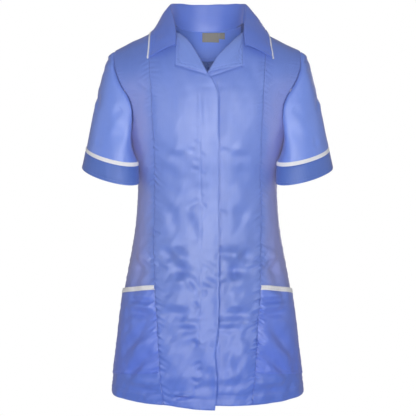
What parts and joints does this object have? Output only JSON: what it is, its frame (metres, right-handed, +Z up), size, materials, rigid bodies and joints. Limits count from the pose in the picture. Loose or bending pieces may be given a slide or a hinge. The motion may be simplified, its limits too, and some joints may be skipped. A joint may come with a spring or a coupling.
{
  "type": "revere collar tunic",
  "caption": "Short-sleeved work tunic with a revere collar, a front fastening hidden under a fly, shoulder princess seams, banded cuffs and bound hip pockets.",
  "frame": {"origin": "on the centre line, at the height of the back neck seam, where the tunic hangs from its wearer's shoulders", "axes": "+Z up as worn, -Y to the wearer's front, +X to the wearer's left"},
  "size_m": [0.51, 0.2661, 0.8118],
  "materials": {
    "blue_cloth": "fine twill of polyester and cotton, mid blue, slight satin sheen with a mauve-grey tint at a glancing angle",
    "white_trim": "white woven trim: inserted bands, pocket bindings and collar piping",
    "label_cloth": "bare grey woven tape",
    "zip_tape": "plain woven tape, hidden"
  },
  "bodies": {
    "root": {"front_right": "blue_cloth", "front_left": "blue_cloth", "side_front_right": "blue_cloth", "side_front_left": "blue_cloth", "back_right": "blue_cloth", "back_left": "blue_cloth", "sleeve_right": "blue_cloth", "sleeve_left": "blue_cloth", "cuff_band_right": "white_trim", "cuff_band_left": "white_trim", "cuff_right": "blue_cloth", "cuff_left": "blue_cloth", "collar": "blue_cloth", "collar_piping": "white_trim", "rever_right": "blue_cloth", "rever_left": "blue_cloth", "neck_facing": "blue_cloth", "pocket_right": "blue_cloth", "pocket_left": "blue_cloth", "pocket_binding_right": "white_trim", "pocket_binding_left": "white_trim", "main_label": "label_cloth", "size_label": "label_cloth", "zip_tape": "zip_tape"}
  },
  "joints": []
}
